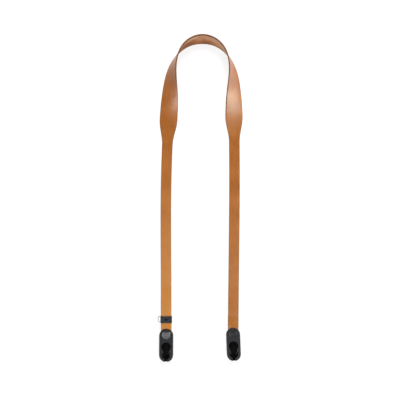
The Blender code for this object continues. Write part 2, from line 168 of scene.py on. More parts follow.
# the glow keeps the shadows pale; it stops under the clips, or their slits would shine
floorPlace = addNode(floorTree, "ShaderNodeTexCoord")
floorAxes = addNode(floorTree, "ShaderNodeSeparateXYZ", None, {"Vector": floorPlace.outputs["Object"]})
hotSide = addNode(floorTree, "ShaderNodeMapRange", {"interpolation_type": "SMOOTHSTEP"}, {
    "Value": floorAxes.outputs["X"], "From Min": view["hotFrom"], "From Max": view["hotTo"],
    "To Min": view["floorGlow"], "To Max": view["hotGlow"]})
glow = hotSide.outputs["Result"]
wide, deep = view["ovalRadii"]
for clipX, clipY in view["ovals"]:
    squashed = addNode(floorTree, "ShaderNodeMapping", None, {
        "Vector": floorPlace.outputs["Object"], "Location": (-clipX / wide, -clipY / deep, 0),
        "Scale": (1 / wide, 1 / deep, 0)})
    reach = addNode(floorTree, "ShaderNodeVectorMath", {"operation": "LENGTH"}, {
        0: squashed.outputs["Vector"]})
    clear = addNode(floorTree, "ShaderNodeMapRange", None, {
        "Value": reach.outputs["Value"], "From Min": view["ovalFrom"], "From Max": view["ovalTo"]})
    glow = addNode(floorTree, "ShaderNodeMath", {"operation": "MULTIPLY"}, {
        0: glow, 1: clear.outputs["Result"]}).outputs[0]
floorTree.links.new(glow, floorShader.inputs["Emission Strength"])
bpy.ops.mesh.primitive_plane_add(size=view["floorSide"], location=(0, 0, -view["floorDrop"]))
studioFloor = bpy.context.object
studioFloor.name = "studioFloor"
studioFloor.data.materials.append(floorMaterial)
print("strap scene: camera, floor and light")


# Leather materials. The UVs run in metres: x along the strap, y round its section.

leather = {
    "tan": "#9B5815", "tanDeep": "#905010", "tanPale": "#A66320",
    # the end colour is painted light, the lighter tan towards the clip ends
    "endPaintedLight": "#CA873B", "edgeLine": "#75441D",
    # the flesh tones run from painted shade through a middle tone to painted sheen
    "fleshPaintedShade": "#7C4927", "fleshMiddle": "#B9794B", "fleshPaintedSheen": "#C9A183",
    "burnished": "#623C22", "burnishedPale": "#835531",
    "poreMm": 1.5, "creaseMm": 0.8, "streakMm": 2.2, "cloudMm": 26.0,
    "fibreMm": 0.7, "patchMm": 7.0, "layerMm": 0.6,
    # painted light: the grain face is lighter towards its ends, the left one more; painted sheen and shade:
    # the flesh side is lighter at one end of the bend and darker at the other
    "paintedLightLeft": 0.68, "paintedLightRight": 0.18, "paintedLightFrom": 0.16, "paintedLightOver": 0.42,
    "sheenShadeAlong": 0.12, "sheenShadeAcross": 0.03,
}


# Vegetable-tanned cowhide, grain side: smooth, waxed and lightly plated, so it has a soft
# broad shine, cloudy colour, faint streaks along the back line and very fine pores
def makeGrainLeather():
    material, tree, shader = newMaterial("vegTanGrainWaxed")
    uv = addNode(tree, "ShaderNodeUVMap", {"uv_map": "hideMetres"})
    cloud = addNode(tree, "ShaderNodeTexNoise", {"noise_dimensions": "2D"}, {
        "Vector": uv.outputs["UV"], "Scale": 1000 / leather["cloudMm"], "Detail": 3.0, "Roughness": 0.55})
    # streaks run along the strap, about twelve times longer than wide
    streakMap = addNode(tree, "ShaderNodeMapping", None, {
        "Vector": uv.outputs["UV"], "Scale": (1 / 12, 1, 1)})
    streak = addNode(tree, "ShaderNodeTexNoise", {"noise_dimensions": "2D"}, {
        "Vector": streakMap.outputs["Vector"], "Scale": 1000 / leather["streakMm"],
        "Detail": 4.0, "Roughness": 0.6})
    tone = addNode(tree, "ShaderNodeMath", {"operation": "MULTIPLY_ADD"}, {
        0: streak.outputs["Fac"], 1: 0.8, 2: 0.1})
    toneMix = addNode(tree, "ShaderNodeMix", {"data_type": "FLOAT"}, {
        "Factor": 0.5, "A": cloud.outputs["Fac"], "B": tone.outputs[0]})
    colour = addNode(tree, "ShaderNodeValToRGB", {"stops": [
        (0.30, leather["tanDeep"]), (0.5, leather["tan"]), (0.72, leather["tanPale"])]},
        {"Fac": toneMix.outputs["Result"]})
    # the cut edge is dyed and rubbed, and the last millimetre of the face with it
    edge = addNode(tree, "ShaderNodeAttribute", {"attribute_name": "edgeDistance"})
    edgeShade = addNode(tree, "ShaderNodeMapRange", {"interpolation_type": "SMOOTHSTEP"}, {
        "Value": edge.outputs["Fac"], "From Min": 0.0002, "From Max": 0.0017, "To Min": 0.75, "To Max": 0.0})
    edged = addNode(tree, "ShaderNodeMix", {"data_type": "RGBA"}, {
        "Factor": edgeShade.outputs["Result"], "A": colour.outputs["Color"],
        "B": linearColour(leather["edgeLine"])})
    # painted light: the grain face is mixed towards a lighter tan towards the clip ends, the left one more,
    # standing in for light that falls brighter there
    paintedEndLight = addNode(tree, "ShaderNodeAttribute", {"attribute_name": "paintedLightShare"})
    paintedEndLit = addNode(tree, "ShaderNodeMix", {"data_type": "RGBA"}, {
        "Factor": paintedEndLight.outputs["Fac"], "A": edged.outputs["Result"], "B": linearColour(leather["endPaintedLight"])})
    tree.links.new(paintedEndLit.outputs["Result"], shader.inputs["Base Color"])
    # hair pores as small pits, with fine creases between them; real pores are nearer 0.2 mm apart
    pores = addNode(tree, "ShaderNodeTexVoronoi", {"voronoi_dimensions": "2D"}, {
        "Vector": uv.outputs["UV"], "Scale": 1000 / leather["poreMm"]})
    pits = addNode(tree, "ShaderNodeMapRange", {"interpolation_type": "SMOOTHSTEP"}, {
        "Value": pores.outputs["Distance"], "From Min": 0.05, "From Max": 0.28, "To Min": 0.0, "To Max": 0.8})
    creases = addNode(tree, "ShaderNodeTexNoise", {"noise_dimensions": "2D"}, {
        "Vector": uv.outputs["UV"], "Scale": 1000 / leather["creaseMm"], "Detail": 4.0, "Roughness": 0.6})
    relief = addNode(tree, "ShaderNodeMath", {"operation": "MULTIPLY_ADD"}, {
        0: creases.outputs["Fac"], 1: 1.1, 2: pits.outputs["Result"]})
    roughness = addNode(tree, "ShaderNodeMapRange", None, {
        "Value": cloud.outputs["Fac"], "From Min": 0.3, "From Max": 0.7, "To Min": 0.30, "To Max": 0.36})
    tree.links.new(roughness.outputs["Result"], shader.inputs["Roughness"])
    bump = addNode(tree, "ShaderNodeBump", None, {
        "Strength": 0.5, "Distance": 0.00014, "Height": relief.outputs[0]})
    tree.links.new(bump.outputs["Normal"], shader.inputs["Normal"])
    shader.inputs["IOR"].default_value = 1.5
    return material


# Flesh side of the same hide: split, sanded and glued down, so it is dull with short fibres
def makeFleshLeather():
    material, tree, shader = newMaterial("vegTanFleshSanded")
    uv = addNode(tree, "ShaderNodeUVMap", {"uv_map": "hideMetres"})
    fibreMap = addNode(tree, "ShaderNodeMapping", None, {"Vector": uv.outputs["UV"], "Scale": (0.35, 1, 1)})
    # a fibre is under 0.1 mm; drawn at 0.7 mm so that the nap shows
    fibre = addNode(tree, "ShaderNodeTexNoise", {"noise_dimensions": "2D"}, {
        "Vector": fibreMap.outputs["Vector"], "Scale": 1000 / leather["fibreMm"],
        "Detail": 5.0, "Roughness": 0.7})
    patchMap = addNode(tree, "ShaderNodeMapping", None, {"Vector": uv.outputs["UV"], "Scale": (0.3, 1, 1)})
    patch = addNode(tree, "ShaderNodeTexNoise", {"noise_dimensions": "2D"}, {
        "Vector": patchMap.outputs["Vector"], "Scale": 1000 / leather["patchMm"], "Detail": 3.0})
    blend = addNode(tree, "ShaderNodeMath", {"operation": "ADD"}, {
        0: fibre.outputs["Fac"], 1: patch.outputs["Fac"]})
    # painted sheen and shade: the flesh is made lighter at the right end of the bend and darker at the left
    # end and towards one edge
    sheenShade = addNode(tree, "ShaderNodeAttribute", {"attribute_name": "paintedSheenShade"})
    fibreSheenTone = addNode(tree, "ShaderNodeMath", {"operation": "MULTIPLY_ADD"}, {
        0: blend.outputs[0], 1: 1.3, 2: sheenShade.outputs["Fac"]})
    scaledSheenTone = addNode(tree, "ShaderNodeMath", {"operation": "MULTIPLY"}, {0: fibreSheenTone.outputs[0], 1: 0.435})
    colour = addNode(tree, "ShaderNodeValToRGB", {"stops": [
        (0.50, leather["fleshPaintedShade"]), (0.80, leather["fleshMiddle"]), (1.0, leather["fleshPaintedSheen"])]},
        {"Fac": scaledSheenTone.outputs[0]})
    tree.links.new(colour.outputs["Color"], shader.inputs["Base Color"])
    bump = addNode(tree, "ShaderNodeBump", None, {
        "Strength": 0.5, "Distance": 0.0002, "Height": fibre.outputs["Fac"]})
    tree.links.new(bump.outputs["Normal"], shader.inputs["Normal"])
    shader.inputs["Roughness"].default_value = 0.9
    shader.inputs["Specular IOR Level"].default_value = 0.2
    shader.inputs["Sheen Weight"].default_value = 0.06
    return material


# Cut edge of the hide, dyed, wetted and rubbed: darker, with faint layers and little shine
def makeEdgeLeather():
    material, tree, shader = newMaterial("vegTanEdgeBurnished")
    uv = addNode(tree, "ShaderNodeUVMap", {"uv_map": "hideMetres"})
    layerMap = addNode(tree, "ShaderNodeMapping", None, {"Vector": uv.outputs["UV"], "Scale": (0.08, 1, 1)})
    layers = addNode(tree, "ShaderNodeTexNoise", {"noise_dimensions": "2D"}, {
        "Vector": layerMap.outputs["Vector"], "Scale": 1000 / leather["layerMm"], "Detail": 3.0})
    colour = addNode(tree, "ShaderNodeValToRGB", {"stops": [
        (0.35, leather["burnished"]), (0.75, leather["burnishedPale"])]}, {"Fac": layers.outputs["Fac"]})
    tree.links.new(colour.outputs["Color"], shader.inputs["Base Color"])
    bump = addNode(tree, "ShaderNodeBump", None, {
        "Strength": 0.3, "Distance": 0.0001, "Height": layers.outputs["Fac"]})
    tree.links.new(bump.outputs["Normal"], shader.inputs["Normal"])
    shader.inputs["Roughness"].default_value = 0.6
    shader.inputs["Specular IOR Level"].default_value = 0.15
    return material


grainLeather = makeGrainLeather()
fleshLeather = makeFleshLeather()
edgeLeather = makeEdgeLeather()
print("strap scene: leather finishes")


# The leather band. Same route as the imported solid, with rounded rubbed edges.

band = {
    "slimWidth": 0.0194, "wideWidth": 0.0326, "thickness": 0.0025,
    "faceEdge": 0.0007, "faceDrop": 0.0006, "backEdge": 0.0004, "crown": 0.00008,
    "bendTiltDeg": 112.4, "bendLength": 0.1225, "easeLength": 0.01, "twistEase": 0.85,
    "edgeLift": 0.0035, "liftedLength": 0.135, "taperLength": 0.046, "straightening": 0.285,
    "step": 0.001, "spacing": 0.0025, "seam": 0.002, "columns": 16,
    "gap": 0.0003, "ramp": 0.055, "rampPast": 0.001, "rampMargin": 0.001,
    "tail": 0.022, "tailFrom": 0.003, "loopSlack": 0.0006,
}
halves = {
    "right": {"tight": 0.0225, "share": 1.0, "splayDeg": -1.0, "legDeg": 0.65, "twistLength": 0.2273,
              "taperFrom": 0.1711, "legLength": 0.5583, "clipTurnDeg": 2.1},
    "left": {"tight": 0.0390, "share": 0.75, "splayDeg": -3.55, "legDeg": 0.27, "twistLength": 0.2115,
             "taperFrom": 0.1778, "legLength": 0.5606, "clipTurnDeg": -0.4},
}
barPlace = {"fromEnd": 0.0125, "length": 0.0044, "thickness": 0.0032}
adjuster = {
    "fromClip": 0.0107, "length": 0.0121, "wire": 0.0011, "lift": 0.0007,
    "tailPast": 0.0036, "levelBefore": 0.0014,
}

tailTop = band["thickness"]
strandInClip = tailTop + barPlace["thickness"] + 2 * band["gap"]
tailInKeeper = adjuster["lift"] + adjuster["wire"] + band["gap"]
strandInKeeper = tailInKeeper + band["thickness"] + band["gap"]
loopRadius = (strandInClip - tailTop + band["thickness"]) / 2
loopCentre = barPlace["fromEnd"] + (barPlace["length"] - barPlace["thickness"]) / 2 + band["loopSlack"]


# plan position, heading, tilt and width at each step from the middle of the bend to a clip's bar
def routeStations(half):
    total = half["legLength"] + barPlace["fromEnd"]
    count = int(round(total / band["step"]))
    step = total / count

    def bendAt(along):
        if along <= half["tight"]:
            return 1.0
        easing = min((along - half["tight"]) / band["easeLength"], 1.0)
        fading = (along - half["tight"] - band["easeLength"]) / (
            band["bendLength"] - half["tight"] - band["easeLength"])
        return mixValue(1.0, half["share"], easing) * (1 - min(max(fading, 0.0), 1.0))

    shares = [0.0]
    for i in range(count):
        shares.append(shares[-1] + (bendAt(i * step) + bendAt((i + 1) * step)) / 2)
    stations = []
    x = y = 0.0
    lastHeight = None
    for i in range(count + 1):
        along = i * step
        turn = (90 + half["splayDeg"]) * shares[i] / shares[-1]
        straightened = smoothStep((along - band["bendLength"]) / band["straightening"])
        turn += (half["legDeg"] - half["splayDeg"]) * straightened
        twisted = min(along / half["twistLength"], 1.0) ** band["twistEase"]
        tilt = math.radians(band["bendTiltDeg"] * (1 - smoothStep(twisted)))
        width = mixValue(band["wideWidth"], band["slimWidth"],
                         smoothStep((along - half["taperFrom"]) / band["taperLength"]))
        lift = band["edgeLift"] * math.sin(math.pi * min(along / band["liftedLength"], 1.0)) ** 2
        height = lift + width / 2 * math.sin(tilt) + band["thickness"] / 2 * abs(math.cos(tilt))
        rise = 0.0 if lastHeight is None else height - lastHeight
        run = math.sqrt(max(step * step - rise * rise, 0.0)) if i else 0.0
        angle = math.radians(turn)
        heading = (angle + stations[-1]["angle"]) / 2 if i else 0.0
        x += run * math.cos(heading)
        y -= run * math.sin(heading)
        lastHeight = height
        stations.append({"along": along, "point": Vector((x, y, height)), "angle": angle,
                         "slope": rise / step, "tilt": tilt, "width": width})
    return stations


def bendSections(stations, until):
    sections = []
    nextAt = 0.0
    for station in stations:
        along = station["along"]
        if along > until:
            break
        if along + band["step"] / 2 < nextAt:
            continue
        nextAt = along + band["spacing"]
        level = math.sqrt(1 - station["slope"] ** 2)
        heading = Vector((math.cos(station["angle"]), -math.sin(station["angle"]), 0))
        forward = heading * level + Vector((0, 0, station["slope"]))
        inward = Vector((heading.y, -heading.x, 0))
        upward = inward.cross(forward).normalized()
        across = inward * math.cos(station["tilt"]) + upward * math.sin(station["tilt"])
        sections.append({"point": station["point"], "across": across, "along": along,
                         "normal": across.cross(forward).normalized(), "width": station["width"]})
    return sections


# side view of an end: the ramp up to the clip, the fold round its bar, and the tail
def endProfile(hasKeeper):
    middle = band["thickness"] / 2
    if hasKeeper:
        tailEnd = adjuster["fromClip"] + adjuster["length"] + adjuster["tailPast"]
        level = strandInKeeper
        levelFrom = adjuster["fromClip"] - adjuster["levelBefore"]
        tailLevel = tailInKeeper
    else:
        tailEnd = band["tail"]
        level = tailTop + band["gap"]
        levelFrom = tailEnd - band["rampMargin"]
        tailLevel = 0.0
    rampEnd = tailEnd + band["rampPast"]

    def strand(distance):
        if distance > rampEnd:
            return level * (1 - smoothStep((distance - rampEnd) / band["ramp"]))
        fallen = (distance - band["rampMargin"]) / (levelFrom - band["rampMargin"])
        return mixValue(strandInClip, level, smoothStep(fallen))

    def tail(distance):
        return tailLevel * smoothStep((distance + band["tailFrom"]) / (levelFrom + band["tailFrom"]))

    points = [(-d, strand(d) + middle) for d in (rampEnd + band["ramp"] * (1 - i / 24) for i in range(25))]
    if hasKeeper:
        points += [(-d, level + middle) for d in (mixValue(rampEnd, levelFrom, i / 6) for i in range(1, 7))]
    points += [(-d, strand(d) + middle) for d in (levelFrom * (1 - i / 14) for i in range(1, 15))]
    points += [(q, strandInClip + middle) for q in (loopCentre * i / 5 for i in range(1, 5))]
    loopHeight = tailTop - middle + loopRadius
    for i in range(21):
        angle = math.radians(90 - 9 * i)
        points.append((loopCentre + loopRadius * math.cos(angle), loopHeight + loopRadius * math.sin(angle)))
    points += [(q, middle) for q in (mixValue(loopCentre, band["tailFrom"], i / 4) for i in range(1, 4))]
    points += [(-d, tail(d) + middle) for d in (
        mixValue(-band["tailFrom"], levelFrom, i / 12) for i in range(13))]
    points += [(-d, tailLevel + middle) for d in (mixValue(levelFrom, tailEnd, i / 5) for i in range(1, 6))]
    return points, rampEnd + band["ramp"]


def endSections(mouth, heading, hasKeeper, alongMouth):
    inward = Vector((heading.y, -heading.x, 0))
    profile, _ = endProfile(hasKeeper)
    sections = []
    along = alongMouth + profile[0][0]
    for i, (distance, height) in enumerate(profile):
        before = profile[max(i - 1, 0)]
        after = profile[min(i + 1, len(profile) - 1)]
        if i:
            along += math.dist(profile[i - 1], profile[i])
        normal = (heading * (before[1] - after[1]) + Vector((0, 0, after[0] - before[0]))).normalized()
        point = mouth + heading * distance + Vector((0, 0, height))
        sections.append({"point": point, "across": inward, "normal": normal,
                         "width": band["slimWidth"], "along": along})
    return sections


def halfSections(half, hasKeeper):
    stations = routeStations(half)
    _, rampStart = endProfile(hasKeeper)
    sections = bendSections(stations, half["legLength"] - rampStart - band["seam"])
    last = stations[int(half["legLength"] / stations[1]["along"])]
    heading = Vector((math.cos(last["angle"]), -math.sin(last["angle"]), 0))
    mouth = last["point"] + heading * (half["legLength"] - last["along"])
    mouth.z = 0.0
    sections += endSections(mouth, heading, hasKeeper, half["legLength"])
    return sections, mouth, heading


# the same section mirrored, for the left half
def flipSection(section):
    flipped = {key: Vector((-section[key].x, section[key].y, section[key].z))
               for key in ("point", "across", "normal")}
    return {**flipped, "width": section["width"], "along": -section["along"]}


# (across, up, finish) round the section: 0 grain face, 1 flesh side, 2 rubbed edge
def sectionPoints(width):
    half = width / 2
    top = band["thickness"] / 2
    faceHalf = half - band["faceEdge"]
    backHalf = half - band["backEdge"]
    points = []
    columns = band["columns"]
    for i in range(columns + 1):
        v = mixValue(-faceHalf, faceHalf, i / columns)
        points.append((v, top - band["crown"] * (v / faceHalf) ** 2, 0))
    for i in range(1, 4):
        a = math.radians(30 * i)
        points.append((faceHalf + band["faceEdge"] * math.sin(a),
                       top - band["crown"] - band["faceDrop"] * (1 - math.cos(a)), 2 if i > 1 else 0))
    for i in range(3):
        a = math.radians(45 * i)
        points.append((backHalf + band["backEdge"] * math.cos(a),
                       -top + band["backEdge"] * (1 - math.sin(a)), 2))
    for i in range(1, columns):
        points.append((mixValue(backHalf, -backHalf, i / columns), -top, 1))
    for i in range(3):
        a = math.radians(90 - 45 * i)
        points.append((-backHalf - band["backEdge"] * math.cos(a),
                       -top + band["backEdge"] * (1 - math.sin(a)), 2))
    for i in range(3, 0, -1):
        a = math.radians(30 * i)
        points.append((-faceHalf - band["faceEdge"] * math.sin(a),
                       top - band["crown"] - band["faceDrop"] * (1 - math.cos(a)), 2 if i > 1 else 0))
    return points


def buildStrap(sections):
    meshData = bmesh.new()
    uvLayer = meshData.loops.layers.uv.new("hideMetres")
    edgeLayer = meshData.verts.layers.float.new("edgeDistance")
    paintedLightLayer = meshData.verts.layers.float.new("paintedLightShare")
    paintedSheenShadeLayer = meshData.verts.layers.float.new("paintedSheenShade")
    rings = []
    for section in sections:
        ring = []
        for v, up, finish in sectionPoints(section["width"]):
            vert = meshData.verts.new(section["point"] + section["across"] * v + section["normal"] * up)
            vert[edgeLayer] = max(section["width"] / 2 - abs(v), 0.0)
            # painted light: the grain face grows lighter towards the clip ends
            full = leather["paintedLightLeft"] if section["along"] < 0 else leather["paintedLightRight"]
            vert[paintedLightLayer] = full * smoothStep(
                (abs(section["along"]) - leather["paintedLightFrom"]) / leather["paintedLightOver"])
            # painted sheen and shade on the flesh: lighter towards the right end of the bend, darker towards
            # the left and one edge
            vert[paintedSheenShadeLayer] = smoothStep(
                0.5 + section["along"] / leather["sheenShadeAlong"] + v / leather["sheenShadeAcross"])
            ring.append(vert)
        rings.append(ring)
    outline = sectionPoints(band["slimWidth"])
    finishes = [point[2] for point in outline]
    rounds = [0.0]
    for i in range(len(outline)):
        rounds.append(rounds[-1] + math.dist(outline[i][:2], outline[(i + 1) % len(outline)][:2]))
    count = len(outline)
    for i in range(len(rings) - 1):
        fromAlong, toAlong = sections[i]["along"], sections[i + 1]["along"]
        for k in range(count):
            n = (k + 1) % count
            face = meshData.faces.new((rings[i][k], rings[i][n], rings[i + 1][n], rings[i + 1][k]))
            face.material_index = 2 if 2 in (finishes[k], finishes[n]) else finishes[k]
            face.smooth = True
            for loop, uv in zip(face.loops, ((fromAlong, rounds[k]), (fromAlong, rounds[k + 1]),
                                             (toAlong, rounds[k + 1]), (toAlong, rounds[k]))):
                loop[uvLayer].uv = uv
    for ring, along in ((rings[0], sections[0]["along"]), (rings[-1], sections[-1]["along"])):
        cap = meshData.faces.new(ring)
        cap.material_index = 2
        for loop, point in zip(cap.loops, outline):
            loop[uvLayer].uv = (along + point[1], point[0])
    bmesh.ops.recalc_face_normals(meshData, faces=meshData.faces)
    mesh = bpy.data.meshes.new("neckStrap")
    meshData.to_mesh(mesh)
    meshData.free()
    for material in (grainLeather, fleshLeather, edgeLeather):
        mesh.materials.append(material)
    strap = bpy.data.objects.new("neckStrap", mesh)
    scene.collection.objects.link(strap)
    return strap


rightSections, rightMouth, rightHeading = halfSections(halves["right"], False)
leftSections, leftMouth, leftHeading = halfSections(halves["left"], True)
allSections = [flipSection(section) for section in reversed(leftSections[1:])] + rightSections
leftMouth.x = -leftMouth.x
leftHeading.x = -leftHeading.x
neckStrap = buildStrap(allSections)

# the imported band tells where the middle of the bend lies
low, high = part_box("strap")
xs = [vertex.co.x for vertex in neckStrap.data.vertices]
ys = [vertex.co.y for vertex in neckStrap.data.vertices]
bandShift = Vector(((low[0] + high[0] - min(xs) - max(xs)) / 2,
                    (low[1] + high[1] - min(ys) - max(ys)) / 2, 0))
neckStrap.data.transform(Matrix.Translation(bandShift))
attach(neckStrap, "root")
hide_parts("strap")
print("strap scene: leather band,", len(neckStrap.data.polygons), "faces, shifted", tuple(bandShift))


# Hard pieces: finishes

plastic = {
    # the socket colour is painted shade for the recess
    "black": "#1A1A1C", "worn": "#232325", "socket": "#060607", "grainMm": 0.6, "flowMm": 14,
    # painted light: the left clip's dish is painted lighter and given more shine than the right one's, where
    # the light falls on it
    "leftDish": ("#4A4A4E", "#58585D", 0.37), "rightDish": ("#222224", "#2A2A2C", 0.15),
}
metal = {
    "plate": ("#292C30", "#35383C"), "dimple": ("#101113", "#17191B"), "rubbedMm": 2.0,
    "wire": ("#6C6E71", "#8A8C8E"), "drawnMm": 0.8,
}


# Glass-filled nylon, injection moulded in a spark-eroded tool: near black, an even fine
# grain and a dull broad shine that catches every rounded edge
def makeMouldedNylon(name, deepHex, paleHex, smoothest, roughest, shine):
    material, tree, shader = newMaterial(name)
    place = addNode(tree, "ShaderNodeTexCoord")
    # the real grain is 0.05 mm; drawn at 0.6 mm so that it shows
    grain = addNode(tree, "ShaderNodeTexNoise", None, {
        "Vector": place.outputs["Object"], "Scale": 1000 / plastic["grainMm"], "Detail": 2.0})
    flow = addNode(tree, "ShaderNodeTexNoise", None, {
        "Vector": place.outputs["Object"], "Scale": 1000 / plastic["flowMm"], "Detail": 2.0})
    colour = addNode(tree, "ShaderNodeValToRGB", {"stops": [
        (0.35, deepHex), (0.7, paleHex)]}, {"Fac": flow.outputs["Fac"]})
    tree.links.new(colour.outputs["Color"], shader.inputs["Base Color"])
    roughness = addNode(tree, "ShaderNodeMapRange", None, {
        "Value": grain.outputs["Fac"], "From Min": 0.3, "From Max": 0.7,
        "To Min": smoothest, "To Max": roughest})
    tree.links.new(roughness.outputs["Result"], shader.inputs["Roughness"])
    bump = addNode(tree, "ShaderNodeBump", None, {
        "Strength": 0.25, "Distance": 0.00006, "Height": grain.outputs["Fac"]})
    tree.links.new(bump.outputs["Normal"], shader.inputs["Normal"])
    shader.inputs["IOR"].default_value = 1.53
    shader.inputs["Specular IOR Level"].default_value = shine
    return material


# Zinc plate, tumbled and blacked: dark blue-grey metal with a satin shine
def makeBlackedPlate(name, deepHex, paleHex):
    material, tree, shader = newMaterial(name)
    place = addNode(tree, "ShaderNodeTexCoord")
    rubbed = addNode(tree, "ShaderNodeTexNoise", None, {
        "Vector": place.outputs["Object"], "Scale": 1000 / metal["rubbedMm"], "Detail": 5.0})
    colour = addNode(tree, "ShaderNodeValToRGB", {"stops": [
        (0.3, deepHex), (0.75, paleHex)]}, {"Fac": rubbed.outputs["Fac"]})
    tree.links.new(colour.outputs["Color"], shader.inputs["Base Color"])
    roughness = addNode(tree, "ShaderNodeMapRange", None, {
        "Value": rubbed.outputs["Fac"], "From Min": 0.3, "From Max": 0.7, "To Min": 0.34, "To Max": 0.5})
    tree.links.new(roughness.outputs["Result"], shader.inputs["Roughness"])
    shader.inputs["Metallic"].default_value = 1.0
    return material


# Spring wire, drawn and bright plated: pale, with faint draw lines
def makeDrawnWire():
    material, tree, shader = newMaterial("springWireDrawn")
    place = addNode(tree, "ShaderNodeTexCoord")
    lines = addNode(tree, "ShaderNodeTexNoise", None, {
        "Vector": place.outputs["Object"], "Scale": 1000 / metal["drawnMm"], "Detail": 2.0})
    deepHex, paleHex = metal["wire"]
    colour = addNode(tree, "ShaderNodeValToRGB", {"stops": [
        (0.3, deepHex), (0.7, paleHex)]}, {"Fac": lines.outputs["Fac"]})
    tree.links.new(colour.outputs["Color"], shader.inputs["Base Color"])
    shader.inputs["Metallic"].default_value = 1.0
    shader.inputs["Roughness"].default_value = 0.28
    return material


# The same nylon down in the socket, with painted shade: near black and with little shine, so the recess looks
# deep in shade
def makePaintedShadeSocketNylon():
    material, tree, shader = newMaterial("glassNylonSocketPaintedShade")
    place = addNode(tree, "ShaderNodeTexCoord")
    grain = addNode(tree, "ShaderNodeTexNoise", None, {
        "Vector": place.outputs["Object"], "Scale": 1000 / plastic["grainMm"], "Detail": 2.0})
    bump = addNode(tree, "ShaderNodeBump", None, {
        "Strength": 0.3, "Distance": 0.00006, "Height": grain.outputs["Fac"]})
    tree.links.new(bump.outputs["Normal"], shader.inputs["Normal"])
    shader.inputs["Base Color"].default_value = linearColour(plastic["socket"])
    shader.inputs["Roughness"].default_value = 0.62
    shader.inputs["Specular IOR Level"].default_value = 0.06
    return material


mouldedNylon = makeMouldedNylon("glassNylonMoulded", plastic["black"], plastic["worn"], 0.31, 0.38, 0.15)
# the thumb dishes get lit copies of the nylon as painted light, the left one lighter
dishNylon = {}
for side in ("leftDish", "rightDish"):
    deepHex, paleHex, shine = plastic[side]
    dishNylon[side] = makeMouldedNylon(
        "glassNylonThumbPaintedLight" + side[:-4].capitalize(), deepHex, paleHex, 0.33, 0.40, shine)
paintedShadeSocketNylon = makePaintedShadeSocketNylon()
blackedPlate = makeBlackedPlate("zincPlateBlacked", *metal["plate"])
# the blacking is left thick in the dimple
dimpleZinc = makeBlackedPlate("zincPlateBlackedDimple", *metal["dimple"])
drawnWire = makeDrawnWire()


# Bodies and Booleans

cutterPast = 0.001  # how far a cutting tool stands past the face that it cuts


# closed body from rings with the same number of points
def ringBody(name, rings, material):
    meshData = bmesh.new()
    loops = [[meshData.verts.new(point) for point in ring] for ring in rings]
    count = len(rings[0])
    for below, above in zip(loops, loops[1:]):
        for i in range(count):
            j = (i + 1) % count
            meshData.faces.new((below[i], below[j], above[j], above[i]))
    meshData.faces.new(loops[0])
    meshData.faces.new(loops[-1])
    bmesh.ops.recalc_face_normals(meshData, faces=meshData.faces)
    mesh = bpy.data.meshes.new(name)
    meshData.to_mesh(mesh)
    meshData.free()
    mesh.materials.append(material)
    body = bpy.data.objects.new(name, mesh)
    scene.collection.objects.link(body)
    return body


def prism(outline, bottom, top):
    return [[(x, y, z) for x, y in outline] for z in (bottom, top)]


# cuts or joins the tools one after another, softens the edges and keeps only the result
def carve(body, steps, edgeWidth):
    for operation, tool in steps:
        modifier = body.modifiers.new(tool.name, "BOOLEAN")
        modifier.operation = operation
        modifier.object = tool
        modifier.material_mode = "TRANSFER"
    body.data.shade_smooth()
    bevel = body.modifiers.new("softEdges", "BEVEL")
    bevel.width = edgeWidth
    bevel.segments = 2
    bevel.limit_method = "ANGLE"
    bevel.angle_limit = math.radians(32)
    bevel.miter_outer = "MITER_ARC"
    flat = body.modifiers.new("flatFaces", "WEIGHTED_NORMAL")
    flat.keep_sharp = True
    evaluated = body.evaluated_get(bpy.context.evaluated_depsgraph_get())
    mesh = bpy.data.meshes.new_from_object(evaluated)
    body.modifiers.clear()
    body.data = mesh
    for _, tool in steps:
        bpy.data.objects.remove(tool, do_unlink=True)
    return body


def roundedBox(halfX, bottomY, topY, corner):
    outline = []
    for i, (side, y) in enumerate(((1, topY - corner), (-1, topY - corner),
                                   (-1, bottomY + corner), (1, bottomY + corner))):
        outline += arcPoints(side * (halfX - corner), y, corner, 90 * i, 90 * i + 90, 6)
    return outline


# Clips

clip = {
    "width": 0.0258, "length": 0.0607, "backRound": 0.0008, "frontRound": 0.0016,
    "frontPlate": 0.0024, "channelSideGap": 0.0007, "channelEndGap": 0.0009,
    "socketFloor": 0.003, "socketAt": 0.0330, "socketTravel": 0.0146,
    "entryRadius": 0.0087, "seatRadius": 0.0077, "waist": 0.0124,
    "lipThickness": 0.0025, "lipReach": 0.001, "entryLip": 0.0002, "exitWidth": 0.0048, "exitSill": 0.0006,
    "tongueWidth": 0.011, "slit": 0.0006, "tongueLength": 0.021, "tongueRoot": 0.35,
    "padWidth": 0.0092, "padLength": 0.0175, "padHeight": 0.0005,
    "padInset": 0.001, "padCorner": 0.0014, "padSunk": 0.0006,
    "dishAt": 0.0056, "dishLength": 0.0132, "dishWidth": 0.0147, "dishDepth": 0.0011,
    "dishCorner": 0.35, "dishMiddle": 0.47, "edgeWidth": 0.00022,
}


def stadium(length, width):
    radius = width / 2
    return arcPoints(0, -radius, radius, 0, 180, 30) + arcPoints(0, radius - length, radius, 180, 360, 30)


